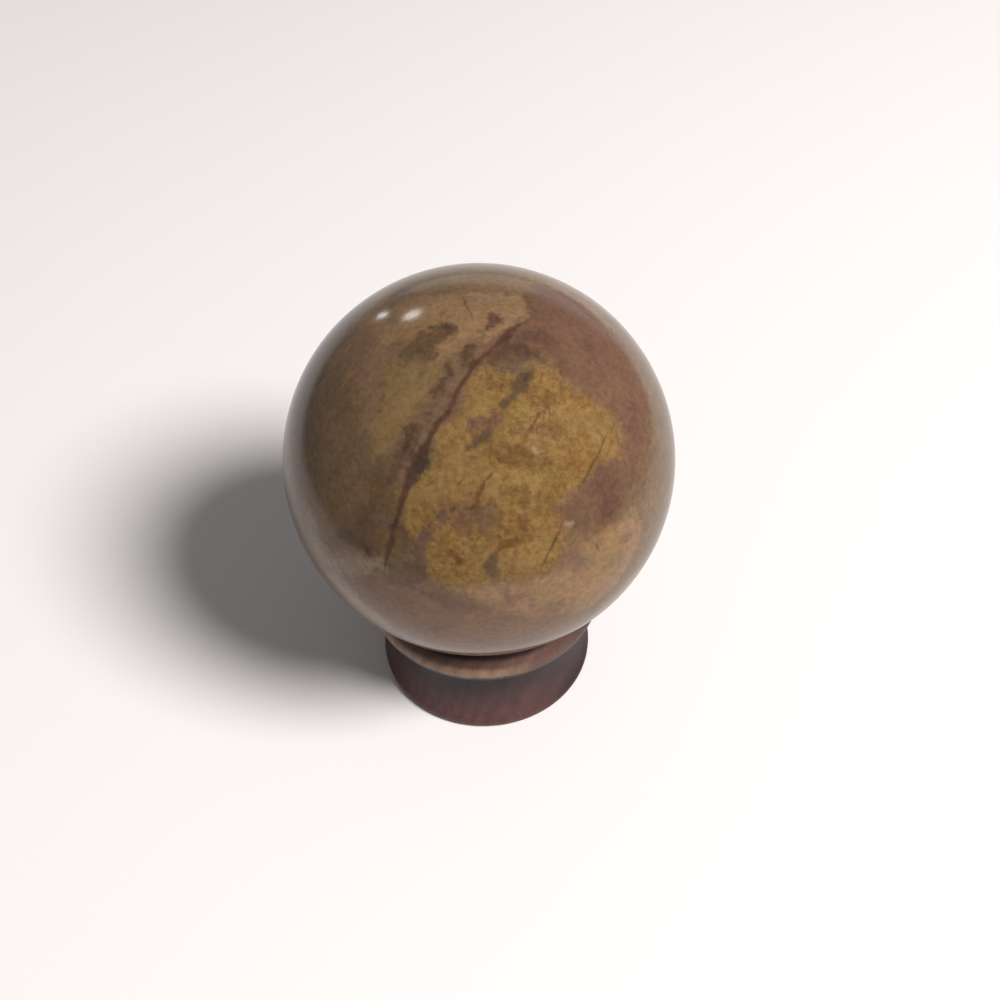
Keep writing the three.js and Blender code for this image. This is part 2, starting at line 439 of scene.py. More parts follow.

# From the lowest to the topmost, the cracks and the vein near the top. Patches and paths are placed
# one by one, so each number is a place on the face in hundredths of the ball's radius.
LAYERS: tuple[Kind | Lines, ...] = (
    Kind(
        "warm_brown", "7c5f47", "6f543f", Mottle.STREAK,
        soft=0.056, ragged=0.33, rare=0.3, cloud=1.0,
        patches=(
            area(
                (-62, 62), (-45, 76), (-34, 66), (-36, 50), (-42, 36), (-42, 22), (-52, 20), (-56, 38),
                (-68, 45),
            ),
        ),
    ),
    Kind(
        "pale_olive", "7f6542", "745b3a", Mottle.CLOUD,
        soft=0.036, ragged=0.26, rare=0.9, cloud=0.8,
        patches=(
            area(
                (-40, 42), (-30, 46), (-22, 43), (-20, 30), (-25, 22), (-33, 13), (-38, 6), (-44, 5),
                (-45, 15), (-42, 28),
            ),
            stroke((-16, 46, 3), (-19, 38, 3), (-20, 33, 2)),
        ),
    ),
    Kind(
        "umber", "634b32", "56422d", Mottle.STREAK,
        soft=0.066, ragged=0.26, rare=0.9, cloud=0.7,
        patches=(
            area(
                (-42, 2), (-38, -8), (-36, -20), (-40, -35), (-46, -40), (-56, -38), (-60, -28), (-50, -18),
                (-50, -8),
            ),
            stroke((-32, -22, 2), (-32, -30, 3), (-33, -38, 2)),
        ),
    ),
    Kind(
        "tan", "88694b", "795c40", Mottle.CLOUD,
        soft=0.036, ragged=0.26, rare=0.5, cloud=1.2,
        patches=(
            area(
                (-33, 78), (-20, 77), (0, 77), (20, 77), (27, 72), (24, 63), (14, 59), (5, 54), (-2, 52),
                (-10, 46), (-20, 46), (-27, 50), (-33, 58), (-38, 68),
            ),
            area(
                (-10, -56), (10, -54), (28, -52), (40, -46), (50, -36), (66, -28), (76, -30), (70, -52),
                (50, -72), (20, -72), (2, -64),
            ),
            stroke((24, 88, 4), (40, 82, 6), (52, 73, 6), (63, 62, 4)),
            stroke((-42, 84, 5), (-50, 70, 6), (-38, 58, 5)),
            stroke((62, -72, 5), (74, -60, 5)),
        ),
    ),
    Kind(
        "bottom_brown", "775a43", "6a4f3e", Mottle.CLOUD,
        soft=0.046, ragged=0.33, rare=0.7, cloud=0.8,
        patches=(
            area(
                (-55, -53), (-42, -50), (-30, -54), (-10, -60), (3, -67), (20, -74), (50, -76), (40, -88),
                (0, -97), (-40, -86), (-66, -68),
            ),
            stroke((20, -64, 2), (32, -70, 5)),
            stroke((36, -46, 4), (46, -46, 4), (55, -42, 2)),
            stroke((62, -46, 3), (66, -42, 2)),
        ),
    ),
    Kind(
        "top_olive", "7b6142", "6e5338", Mottle.STREAK,
        soft=0.026, ragged=0.26, rare=1.2, cloud=0.6,
        patches=(
            area((-30, 80), (-10, 79), (4, 79), (22, 79), (34, 86), (10, 97), (-20, 96), (-38, 88)),
        ),
    ),
    Kind(
        "pale_ash", "8b7860", "7c6650", Mottle.CLOUD,
        soft=0.031, ragged=0.22, rare=1.7, cloud=0.7, strength=0.8,
        patches=(
            stroke((-68, -48, 5), (-56, -46, 5.5), (-46, -45, 3)),
            stroke((2, 76, 1.5), (10, 75, 2.5), (17, 74.5, 1.2)),
            stroke((-80, -25, 5), (-76, -40, 6)),
            stroke((-68, -56, 6), (-56, -70, 6), (-48, -76, 4)),
        ),
    ),
    Kind(
        "mauve", "6e4f3d", "634637", Mottle.CLOUD,
        soft=0.018, ragged=0.22, rare=0.35, cloud=1.3,
        patches=(
            area(
                (25, 77), (25, 68), (22, 63), (15, 60), (14, 55), (20, 50), (28, 49), (34, 46), (39, 42),
                (41, 36), (47, 32), (51, 27), (57, 23), (62, 20), (66, 14), (67, 5), (65, 0), (58, -3),
                (57, -10), (66, -12), (72, -8), (76, 0), (79, 12), (81, 25), (78, 42), (70, 56), (58, 68),
                (45, 78), (33, 82),
            ),
            stroke((69, -36, 2), (65, -38, 1.5)),
            stroke((36, -20, 2), (33, -24, 1.5)),
        ),
    ),
    Kind(
        "ochre", "82653b", "6d4f2a", Mottle.GRAIN,
        soft=0.032, ragged=0.24, rare=0.45, cloud=1.2,
        patches=(
            area(
                (-3, 35), (1, 41), (5, 42), (10, 39), (17, 38), (26, 43), (33, 45), (38, 39), (42, 34),
                (48, 30), (52, 25), (58, 22), (63, 18), (66, 12), (67, 4), (64, 0), (56, -2), (50, -7),
                (47, -14), (40, -19), (36, -26), (40, -34), (36, -45), (29, -50), (10, -53), (-7, -56),
                (-22, -53), (-25, -45), (-24, -36), (-30, -30), (-34, -26), (-33, -16), (-29, -9),
                (-22, -2), (-19, 5), (-16, 11), (-11, 18), (-7, 25),
            ),
        ),
    ),
    Kind(
        "pale_ochre", "84673f", "7a5d38", Mottle.GRAIN,
        soft=0.046, ragged=0.26, rare=1.2, cloud=0.5, strength=0.7,
        patches=(
            stroke((46, 20, 5), (56, 14, 6), (57, 6, 5)),
            stroke((14, -44, 3), (26, -44, 4), (31, -36, 2)),
            stroke((-15, 10, 2), (-8, 5, 4), (-4, -2, 5), (6, -10, 4)),
            stroke((-27, -14, 3), (-16, -12, 4)),
            stroke((6, 31, 3), (2, 24, 2)),
            stroke((52, -42, 2), (60, -47, 5), (64, -40, 4), (58, -35, 3)),
        ),
    ),
    Kind(
        "stain", "6a4c2c", "5e4226", Mottle.GRAIN,
        soft=0.024, ragged=0.31, rare=1.1, cloud=0.5, strength=0.75,
        patches=(
            stroke((10, 1, 1.2), (17, -1, 1.5), (28, -2, 2.5)),
            stroke((10, 6, 2), (18, 5, 3.5), (23, 2, 2)),
            stroke((13, -12, 2), (20, -12, 4.5), (22, -20, 3.5), (21, -32, 1)),
            stroke((18, 14, 2), (28, 12, 3), (38, 14, 3)),
            stroke((0, -19, 1), (2, -12, 1)),
            stroke((30, 26, 1.5), (36, 25, 2)),
            stroke((8, 34, 2), (16, 33, 3), (24, 29, 1.5)),
        ),
    ),
    Kind(
        "veil", "674c39", "594133", Mottle.CLOUD,
        soft=0.045, ragged=0.22, rare=1.0, cloud=0.5, strength=0.85,
        patches=(
            area((-10, -20), (-2, -19), (6, -20), (9, -25), (6, -31), (-3, -31), (-10, -26)),
            stroke((-20, -60, 4), (-12, -64, 5.5), (-5, -66, 4)),
            area(
                (34, -19), (42, -17), (47, -13), (50, -7), (56, -4), (66, -4), (70, -12), (66, -20),
                (60, -29), (50, -33), (43, -31), (38, -25),
            ),
            stroke((-10, 29, 3), (-9, 23, 3)),
            stroke((10, -58, 1.5), (12, -62, 2)),
            stroke((69, 10, 4), (68, 2, 3)),
            stroke((8, 50, 5), (18, 52, 6), (26, 46, 5)),
            stroke((30, 56, 4), (37, 50, 4), (40, 43, 3)),
            stroke((3, 53, 3), (-1, 48, 4.5), (-4, 43, 3)),
            stroke((-27, 14, 3), (-30, 6, 4), (-35, -2, 3)),
        ),
    ),
    Kind(
        "murk", "634d3b", "574333", Mottle.CLOUD,
        soft=0.022, ragged=0.26, rare=0.9, cloud=0.45,
        patches=(
            area((3, 46), (10, 50), (20, 51), (27, 47), (26, 42), (18, 39), (10, 40), (6, 42)),
            stroke((-26, 13, 3), (-29, 6, 3.5), (-32, 0, 2)),
            stroke((-47, -24, 1.5), (-42, -25, 2.5), (-39, -27, 2)),
            stroke((-64, -33, 3.5), (-55, -34, 5), (-48, -36, 3)),
            area(
                (-15, -19), (-12, -22), (-19, -30), (-23, -36), (-25, -44), (-25, -53), (-32, -57),
                (-42, -56), (-42, -46), (-36, -44), (-29, -40), (-26, -30), (-20, -22),
            ),
        ),
    ),
    Kind(
        "dark_olive", "624b33", "513c29", Mottle.STREAK,
        soft=0.022, ragged=0.22, rare=1.5, cloud=0.35, strength=0.9,
        patches=(
            area(
                (-32, 48), (-27, 56), (-23, 60), (-17, 62), (-10, 63), (-7, 60), (-9, 55), (-15, 51),
                (-20, 46), (-27, 45),
            ),
            stroke((-14.5, 68, 0.4), (-15, 62, 1)),
            stroke((24, 75, 1), (27, 70, 1.4), (26, 65, 1.8)),
        ),
    ),
    Kind(
        "dusk", "5f4633", "4b362a", Mottle.CLOUD,
        soft=0.024, ragged=0.24, rare=1.4, cloud=0.4,
        patches=(
            stroke((2, 52, 1.2), (-2, 48, 3), (-4.5, 43, 1.8)),
            stroke(
                (-10, 44, 1.2), (-10.5, 41, 1.6), (-11.5, 37, 1.8), (-14.5, 33, 1.6), (-17, 29, 0.2),
                (-20, 24, 0), (-23, 18, 0.2), (-26, 14, 1.8), (-29, 10, 2), (-32, 6, 2.2), (-34, 3, 1),
            ),
            stroke((-24, 6, 2), (-28, 2, 2.8), (-30, -3, 1)),
            stroke((-35, 0, 1.2), (-36, -3, 1.8), (-38, -7, 1.2)),
            stroke((-24, -28, 1.2)),
            stroke((-33.5, -28, 1.4), (-31, -32, 1.2)),
            stroke((9, 64, 2), (7, 60, 3.2), (4.5, 57.5, 2)),
            stroke((12, 49, 2), (20, 50, 5), (27, 47, 3)),
            stroke((22, 56, 3), (28, 54, 3), (32, 57, 1.5)),
            stroke((6, 44, 1.6), (10, 46, 2.4)),
        ),
    ),
    Kind(
        "purple", "66493b", "553b2f", Mottle.CLOUD,
        soft=0.03, ragged=0.22, rare=1.25, cloud=0.5,
        patches=(
            stroke((51, -10, 3), (58, -12, 5), (61, -18, 4.5), (57, -25, 3)),
            stroke((26, 57, 2.5), (33, 53, 2.4)),
            stroke((37, 45, 2), (41, 40, 1.4)),
            stroke((53, 51, 3)),
            stroke((8.5, 19, 2), (5, 17, 3.2), (1, 14, 2.2)),
            stroke((72, 22, 3), (72, 12, 3)),
            stroke((70, -3, 2), (71, -8, 2)),
            stroke((-34, -52, 2)),
        ),
    ),
    Kind(
        "slate", "58432f", "48392b", Mottle.CLOUD,
        soft=0.018, ragged=0.11, rare=1.7, cloud=0.35, strength=0.9,
        patches=(
            stroke((26, 40, 2), (22.5, 35.5, 3.4), (19, 31, 2.5), (15.5, 27, 1.9), (12.5, 25, 1.8)),
            stroke((7, 13, 1.4), (2, 9.5, 2.4), (-3, 6, 1.6)),
            stroke((8, -41.5, 1.2), (5.2, -45.5, 3.2), (6, -50, 2.6)),
            stroke((5, 45.5, 0.8), (8, 44, 1.6)),
            stroke((14, 46, 1.2), (17, 44, 1.2)),
            stroke((-64, -32, 2), (-56, -35, 3.5), (-50, -39, 1.5)),
        ),
    ),
    Kind(
        "rust", "634322", "54361d", Mottle.GRAIN,
        soft=0.013, ragged=0.11, rare=1.8, cloud=0.3, strength=0.8,
        patches=(
            stroke((-12, -40, 0.8), (-8.5, -43, 2.2)),
            stroke((-2, -37.5, 1.4)),
            stroke((1, -46, 1), (-1, -49, 0.8)),
            stroke((6, -42, 0.8), (11, -37.5, 1.2), (14, -36, 2), (20, -35, 1), (27, -34, 0.4)),
            stroke((9, -33, 0.4), (10, -28, 0.6), (13, -32, 0.6)),
            stroke((25, 15, 0.2), (22, 10, 0.4)),
            stroke((3, -10, 0), (1, -15, 0.2)),
        ),
    ),
    Lines(
        "crack", "62462a", "4e351f", Mottle.CLOUD,
        soft=0.008, ragged=0.024, spacing=0.55, start=0.02, half_width=0.004, noise=0,
        paths=(
            (
                (60, 12, -0.3), (58, 10, 0.1), (54.5, 2, 0.4), (50, -5, 0.5), (46, -12, 0.4),
                (43, -18, 0.1), (42, -20, -0.4),
            ),
            (
                (38.5, -26, -0.4), (37, -30, 0.3), (35, -34, 0.6), (33, -38, 0.5), (30.5, -43, 0.4),
                (28.5, -47, 0.2), (27, -50, -0.4),
            ),
            ((30, 22, -0.3), (27.5, 19.5, 0.6), (26.5, 17.5, 0.1)),
            ((26, 17, 0.1), (24.5, 14, 0.8), (22, 10, 0.4), (21.5, 7, -0.3)),
            ((8, -4.5, -0.2), (6, -6.5, 0.7), (4.5, -8, 0.1)),
            (
                (3.5, -9, 0.1), (2.5, -12, 0.9), (0.5, -15, 0.7), (0, -18, 0.8), (-3, -20, 0.6),
                (-6, -20, -0.2),
            ),
            ((8.5, 3, -0.4), (10, 0.5, 0.5), (14, -1, 0.3), (17, -1, -0.4)),
            ((-5, -7, 0), (-7, -9, 0.5), (-8, -10, 0)),
            ((-8, -19, 0.1), (-10, -20, 0.8), (-11.5, -21.5, 0)),
            ((80, -7, -0.4), (77, -12, 0.5), (73, -20, -0.4)),
            ((-5, 76, -0.6), (-4, 73, 0.1), (-1, 66, 0.2), (0, 60, -0.6)),
            ((53, -38, -0.4), (54, -40, 0.6), (55, -43, -0.4)),
            ((30, 26, -0.3), (33, 21, 0.3), (32, 17, -0.3)),
        ),
    ),
    Lines(
        "vein", "573b2c", "402a20", Mottle.CLOUD,
        soft=0.011, ragged=0.035, spacing=0.9, start=0.184, half_width=0.012, noise=1,
        paths=(
            (
                (30, 66, -0.6), (24, 63, 0.4), (19, 60, 1), (15.5, 57, 1.6), (13, 54, 1.8), (10, 51, 1.2),
                (5, 47, 1.2), (0, 42, 1.3), (-4, 36, 1.2), (-8, 30, 1.2), (-10, 25, 1.6), (-13, 20, 1.5),
                (-17, 15.5, 1.5), (-20, 10, 1.6), (-22.5, 5, 2.2), (-24.5, 0, 3.4), (-27.5, -4, 2.4),
                (-30.5, -10, 2), (-33.5, -18, 1.6), (-36, -25, 1.4), (-38, -32, 1.7), (-40, -38, 1.4),
                (-42, -44, 0.6), (-44, -50, -0.4),
            ),
        ),
    ),
    Kind(
        "ink", "43332a", "342820", Mottle.CLOUD,
        soft=0.014, ragged=0.12, rare=2.3, cloud=0.3, strength=0.8,
        patches=(
            stroke((-22, 3.5, 1.4), (-24, -0.5, 4), (-27.5, -4.5, 2.4), (-30, -10, 1)),
            stroke((-31, 7, 0.4)),
            stroke((-30, -9, 0.5), (-33.5, -18, 0), (-37, -28, -0.2), (-39, -35, 0)),
            stroke((-20, 60.5, 0.2), (-15, 61, 0.8), (-10, 60, 0.8)),
            stroke((-11, 58, 0.6)),
            stroke((-50, -40.5, 1.2)),
            stroke((24, 38.5, 0.6), (22, 35, 0.8)),
            stroke((7, 61, 1)),
            stroke((-14, 35.5, 0.6), (-15, 32.5, 0.6)),
            stroke((-28, 14, 0.4), (-26, 12, 0.4)),
        ),
    ),
    Kind(
        "pale_spots", "a08a74", "8c765f", Mottle.CLOUD,
        soft=0.013, ragged=0.07, rare=2.9, cloud=0.25, strength=0.7,
        patches=(
            stroke((39.3, -28, 0.4), (40.5, -29.1, 0.7), (42.2, -28.4, 0.3)),
            stroke((42, -38.8, 0.3)),
            stroke((25, 5.5, 0), (27, 4, 0.6), (28.5, 3.5, 0.4)),
            stroke((54, 43, -0.4)),
        ),
    ),
)


@dataclass
class JasperBall:
    """The polished jasper sphere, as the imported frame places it."""

    centre: Vector
    radius: float
    cells: int = 126
    polish_wave: float = 0.012 * MM

    def directions(self) -> tuple[np.ndarray, np.ndarray]:
        """The directions of the ball's points, and its faces.

        Each side of a cube is a grid of two angles from -45 to 45 degrees. A grid point's
        direction is the side's axis plus the tangents of the two angles along the side's other
        two axes, brought to unit length. Points that two sides share are one point, so the ball
        has no seam and no pole.

        Returns:
            Rows of unit directions, and the faces as rows of four point numbers.
        """
        angles = np.tan(np.linspace(-math.pi / 4, math.pi / 4, self.cells + 1))
        first, second = np.meshgrid(angles, angles, indexing="ij")
        step = np.arange(self.cells)
        corner = (step[:, None] * (self.cells + 1) + step).ravel()
        ring = np.array([0, self.cells + 1, self.cells + 2, 1])
        sides, faces = [], []
        for axis in range(3):
            for sign in (1.0, -1.0):
                grid = np.zeros((self.cells + 1, self.cells + 1, 3))
                grid[..., axis] = sign
                grid[..., (axis + 1) % 3] = first * sign
                grid[..., (axis + 2) % 3] = second
                faces.append(corner[:, None] + ring + len(sides) * first.size)
                sides.append(grid.reshape(-1, 3))
        directions = np.concatenate(sides)
        directions /= np.linalg.norm(directions, axis=1, keepdims=True)
        _, kept, number = np.unique(
            np.round(directions, 7), axis=0, return_index=True, return_inverse=True
        )
        return directions[kept], number.reshape(-1)[np.concatenate(faces)]

    def surface(self, directions: np.ndarray) -> np.ndarray:
        """The ball's points: the polish's slow waves, a sum of sines, lift the radius a little."""
        lifts = self.radius + self.polish_wave * soft_waves(directions, wavelength=0.8, seed=5)
        return np.array(self.centre) + directions * lifts[:, None]

    def build(self, finish: "PolishedJasper") -> bpy.types.Object:
        """Makes the ball, dresses it and puts it in the place of its CAD node.

        Args:
            finish: the stone that it is made of.

        Returns:
            The ball.
        """
        directions, faces = self.directions()
        ball = mesh_piece("jasper_ball", self.surface(directions), faces)
        for name, values in finish.fields(directions).items():
            layer = ball.data.attributes.new(name, "FLOAT", "POINT")
            layer.data.foreach_set("value", values.astype(np.float32))
        ball.data.materials.append(finish.material(self.centre, self.radius))
        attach(ball, "root")
        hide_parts("stone_sphere")
        return ball


@dataclass(frozen=True)
class PolishedJasper:
    """Jasper, ground and tumble-polished: opaque, with a glassy shine over a granular pattern.

    Quartz has an index of about 1.54, and a good polish leaves a roughness near 0.1. This stone
    shines a little less and a little softer than that, so both are matched to it. The eye gets
    small highlights, a saturated pattern face on and a pale rim.

    The patterns' sizes are those of the stone. The grain and the speckle are drawn at 0.7 mm,
    where the real grain is finer than the eye can part. The fields from `grain_depth` on are
    shares of the mix between a layer's dark and light colour.
    """

    ior: float = 1.45
    roughness: float = 0.14
    rim_start: float = 0.1
    rim_end: float = 0.35
    grain_size: float = 0.7 * MM
    net_size: float = 2.4 * MM
    cloud_size: float = 5.0 * MM
    edge_size: float = 2.2 * MM
    streak_size: float = 4.0 * MM
    streak_stretch: float = 3.0
    tint_size: float = 3.5 * MM
    tint: float = 0.06
    speckle_size: float = 0.7 * MM
    speckle: float = 0.16
    cloud_low: float = 0.32
    cloud_high: float = 0.68
    grain_depth: float = 0.42
    grain_range: tuple[float, float] = (0.15, 0.95)
    cloud_grain: float = 0.6
    streak_grain: float = 0.5
    thread_width: float = 0.05
    thread_range: tuple[float, float] = (-0.4, 0.08)

    def fields(self, directions: np.ndarray) -> dict[str, np.ndarray]:
        """The ball's attributes: the fields of every layer.

        A direction belongs to the face by a straight ramp of its part towards the viewer, from 0
        at `rim_start` to 1 at `rim_end`.

        Args:
            directions: rows of unit directions.

        Returns:
            One number for each direction, under each attribute's name.
        """
        towards = directions @ FACE_OUT
        face = np.clip((towards - self.rim_start) / (self.rim_end - self.rim_start), 0, 1)
        values = {}
        for layer in LAYERS:
            values.update(layer.fields(directions, face))
        return values

    def mottles(self, recipe: Recipe, place: Socket, radius: float) -> dict[Mottle, Socket]:
        """Each way of mixing two colours, as a number from 0, dark, to 1, light.

        Each is a noise at its full contrast, with some of the fine grain added. The granular one
        also has dark threads, along which the net's noise passes through its middle.

        Args:
            recipe: where the nodes go.
            place: the place in ball radii from the ball's centre.
            radius: the ball's radius.

        Returns:
            A socket for each way.
        """
        turn = Vector(VEIN_NORMAL).to_track_quat("X", "Z").to_euler()
        along = {"Vector": place, "Rotation": turn, "Scale": (1 / self.streak_stretch, 1, 1)}
        along = recipe.add("Mapping", along, vector_type="TEXTURE")
        noises = (
            (place, self.grain_size),
            (place, self.net_size),
            (place, self.cloud_size),
            (along, self.streak_size),
        )
        grain, net, clouds, streaks = (
            recipe.add("TexNoise", {"Vector": where, "Scale": radius / size, **FRACTAL})
            for where, size in noises
        )
        spread = {1: NOISE_LOW, 2: NOISE_HIGH, 3: -self.grain_depth, 4: self.grain_depth}
        grain = recipe.add("MapRange", {0: grain, **spread})
        threads = recipe.add("Math", {0: net, 1: 0.5}, operation="SUBTRACT")
        threads = recipe.add("Math", {0: threads}, operation="ABSOLUTE")
        low, high = self.thread_range
        fade = {0: threads, 1: 0.0, 2: self.thread_width, 3: low, 4: high}
        threads = recipe.add("MapRange", fade)
        contrast = {1: self.cloud_low, 2: self.cloud_high}
        low, high = self.grain_range
        grainy = recipe.add("MapRange", {0: clouds, **contrast, 3: low, 4: high})
        grainy = recipe.add("Math", {0: grainy, 1: threads}, operation="ADD")
        cloudy = recipe.add("MapRange", {0: clouds, **contrast})
        streaky = recipe.add("MapRange", {0: streaks, **contrast})
        bases = {
            Mottle.GRAIN: (grainy, 1.0),
            Mottle.CLOUD: (cloudy, self.cloud_grain),
            Mottle.STREAK: (streaky, self.streak_grain),
        }
        mottles = {}
        for mottle, (base, share) in bases.items():
            sum_of = {0: grain, 1: share, 2: base}
            mottles[mottle] = recipe.add("Math", sum_of, operation="MULTIPLY_ADD", use_clamp=True)
        return mottles

    def lay(
        self,
        recipe: Recipe,
        layer: Kind | Lines,
        below: Socket,
        edges: Sequence[Socket],
        mottle: Socket,
    ) -> Socket:
        """The colour below with one layer laid over it, out to its ragged edge.

        Args:
            recipe: where the nodes go.
            layer: the layer.
            below: the colour so far.
            edges: three unlike noises that move an edge.
            mottle: the layer's way of mixing its two colours.

        Returns:
            The new colour.
        """
        depth = layer.depth(recipe, edges)
        share = {0: depth, 1: -layer.soft, 2: layer.soft, 4: layer.strength}
        share = recipe.add("MapRange", share, **SOFT)
        paint = {0: mottle, 6: linear(layer.dark), 7: linear(layer.light)}
        paint = recipe.add("Mix", paint, **COLOURS)
        return recipe.add("Mix", {0: share, 6: below, 7: paint}, **COLOURS)

    def vary(self, recipe: Recipe, place: Socket, colour: Socket, radius: float) -> Socket:
        """The colour times two noises: one tints it a little, one darkens and lightens it.

        Args:
            recipe: where the nodes go.
            place: the place in ball radii from the ball's centre.
            colour: the colour so far.
            radius: the ball's radius.

        Returns:
            The new colour.
        """
        tint = {"Vector": place, "Scale": radius / self.tint_size, **FRACTAL}
        tint = recipe.add("TexNoise", tint, out="Color")
        ends = (NOISE_LOW, NOISE_HIGH, 1 - self.tint, 1 + self.tint)
        spread = {number: (end,) * 3 for number, end in enumerate(ends, start=7)}
        tint = recipe.add("MapRange", {6: tint, **spread}, out="Vector", data_type="FLOAT_VECTOR")
        speckle = {"Vector": place, "Scale": radius / self.speckle_size, **FRACTAL}
        speckle = recipe.add("TexNoise", speckle)
        spread = {1: NOISE_LOW, 2: NOISE_HIGH, 3: 1 - self.speckle, 4: 1 + self.speckle}
        speckle = recipe.add("MapRange", {0: speckle, **spread})
        colour = recipe.add("VectorMath", {0: colour, 1: tint}, operation="MULTIPLY")
        return recipe.add("VectorMath", {0: colour, "Scale": speckle}, operation="SCALE")

    def material(self, centre: Vector, radius: float) -> bpy.types.Material:
        """Builds the stone's colours, from its ground up to its pale spots, and its polish.

        Args:
            centre: the ball's centre.
            radius: the ball's radius.

        Returns:
            The material.
        """
        recipe = Recipe(bpy.data.materials.new("polished jasper"))
        place = recipe.add("TexCoord", out="Object")
        shift = {"Vector": place, "Location": -centre / radius, "Scale": (1 / radius,) * 3}
        place = recipe.add("Mapping", shift, vector_type="POINT")
        mottles = self.mottles(recipe, place, radius)
        edge_noise = {"Vector": place, "Scale": radius / self.edge_size, **FRACTAL}
        edge_noise = recipe.add("TexNoise", edge_noise, out="Color")
        edge_noise = recipe.add("VectorMath", {0: edge_noise, 1: (0.5,) * 3}, operation="SUBTRACT")
        edges = [recipe.add("SeparateXYZ", {0: edge_noise}, out=axis) for axis in "XYZ"]
        light, dark = GROUND
        colour = {0: mottles[Mottle.STREAK], 6: linear(dark), 7: linear(light)}
        colour = recipe.add("Mix", colour, **COLOURS)
        for layer in LAYERS:
            colour = self.lay(recipe, layer, colour, edges, mottles[layer.mottle])
        colour = self.vary(recipe, place, colour, radius)
        polish = {"Base Color": colour, "Roughness": self.roughness, "IOR": self.ior}
        recipe.add("OutputMaterial", {"Surface": recipe.add("BsdfPrincipled", polish)})
        return recipe.owner


# ---------------------------------------------------------------- the stand


@dataclass(frozen=True)
class RingSection:
    """The stand's turned section, as shares of the ball's radius, as its turner would set it out."""

    centre_height: float = 1.63
    foot: float = 0.624
    lip: float = 0.676
    lip_height: float = 0.63
    waist: float = 0.54
    waist_height: float = 0.378
    toe_round: float = 0.03
    foot_edge: float = 0.05
    flare_sweep: float = math.radians(60)
    cove_top_height: float = 0.548
    lip_under_reach: float = 0.052
    crown: float = 0.49
    crown_height: float = 0.74
    seat_outer: float = 0.473
    seat_inner: float = 0.373
    bore: float = 0.345
    bore_top_round: float = 0.03
    bore_chamfer: float = 0.02
    seat_gap: float = 0.002

    @staticmethod
    def arc(
        start: Sequence[float],
        end: Sequence[float],
        starts_upright: bool,
        steps: int,
        sweep: float = math.pi / 2,
    ) -> np.ndarray:
        """Part of an ellipse from start to end, without its first point.

        From its upright end it turns through the sweep: the radius changes as one minus the
        cosine of the turn, and the height as the sine, each as a share of its whole change.

        Args:
            start: radius and height of its first point.
            end: radius and height of its last point.
            starts_upright: whether it is upright at its start, not at its end.
            steps: how many pieces it is cut into.
            sweep: how far it turns.

        Returns:
            Rows of radius and height.
        """
        upright, other = (start, end) if starts_upright else (end, start)
        turn = sweep * np.linspace(0, 1, steps + 1)
        shares = np.stack(
            [(1 - np.cos(turn)) / (1 - math.cos(sweep)), np.sin(turn) / math.sin(sweep)], axis=1
        )
        points = np.array(upright) + shares * (np.array(other) - np.array(upright))
        return points[1:] if starts_upright else points[-2::-1]

    def seat(self, radii: np.ndarray) -> np.ndarray:
        """The seat's height at those radii: a dish just under the ball all over."""
        return self.centre_height - np.sqrt((1 + self.seat_gap) ** 2 - radii**2)

    def outline(self) -> np.ndarray:
        """The closed section, from the underside out, up, over the lip and down the hole.

        Returns:
            Rows of radius and height, in ball radii. The last point joins the first.
        """
        toe_in = (self.foot - self.toe_round, 0.0)
        toe = (self.foot, self.toe_round)
        foot_top = (self.foot, self.foot_edge)
        waist = (self.waist, self.waist_height)
        cove_top = (self.lip - self.lip_under_reach, self.cove_top_height)
        lip_edge = (self.lip, self.lip_height)
        crown = (self.crown, self.crown_height)
        dish = np.linspace(self.seat_outer, self.seat_inner, 12)
        seat = np.stack([dish, self.seat(dish)], axis=1)
        bore_top = (self.bore, float(self.seat(np.array(self.seat_inner))) - self.bore_top_round)
        # Curves are cut into pieces of about 0.3 mm, and straight stretches into fewer.
        stretches = [
            np.linspace((self.bore + self.bore_chamfer, 0.0), toe_in, 6),
            self.arc(toe_in, toe, False, 6),
            np.array([foot_top]),
            self.arc(foot_top, waist, False, 20, self.flare_sweep),
            self.arc(waist, cove_top, True, 16),
            self.arc(cove_top, lip_edge, False, 10),
            self.arc(lip_edge, crown, True, 20),
            seat,
            np.linspace(bore_top, (self.bore, self.bore_chamfer), 12),
        ]
        return np.concatenate(stretches)


@dataclass
class RingStand:
    """The turned ring stand under the ball."""

    ball_radius: float
    section: RingSection = field(default_factory=RingSection)
    around: int = 256

    def surface(self) -> tuple[np.ndarray, np.ndarray]:
        """The stand's points and faces.

        The section is carried round the upright axis: a point is its radius times the cosine and
        sine of the turn, and its height. The last row and the last turn join the first ones.

        Returns:
            The points, and the faces as rows of four point numbers.
        """
        outline = self.section.outline() * self.ball_radius
        turns = np.linspace(0, 2 * math.pi, self.around, endpoint=False)
        radii, heights = outline[:, :1], outline[:, 1:]
        grid = np.stack(
            [radii * np.cos(turns), radii * np.sin(turns), heights + 0 * turns], axis=2
        )
        row, turn = np.meshgrid(np.arange(len(outline)), np.arange(self.around), indexing="ij")
        next_row, next_turn = (row + 1) % len(outline), (turn + 1) % self.around
        corners = [(row, turn), (row, next_turn), (next_row, next_turn), (next_row, turn)]
        faces = np.stack([r * self.around + t for r, t in corners], axis=2).reshape(-1, 4)
        return grid.reshape(-1, 3), faces

    def build(self, finish: "LacqueredWood") -> bpy.types.Object:
        """Makes the stand, dresses it and puts it in the place of its CAD node.

        Args:
            finish: the wood that it is made of.

        Returns:
            The stand.
        """
        stand = mesh_piece("turned_ring_stand", *self.surface())
        stand.data.materials.append(finish.material(self.ball_radius))
        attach(stand, "root")
        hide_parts("ring_stand")
        return stand
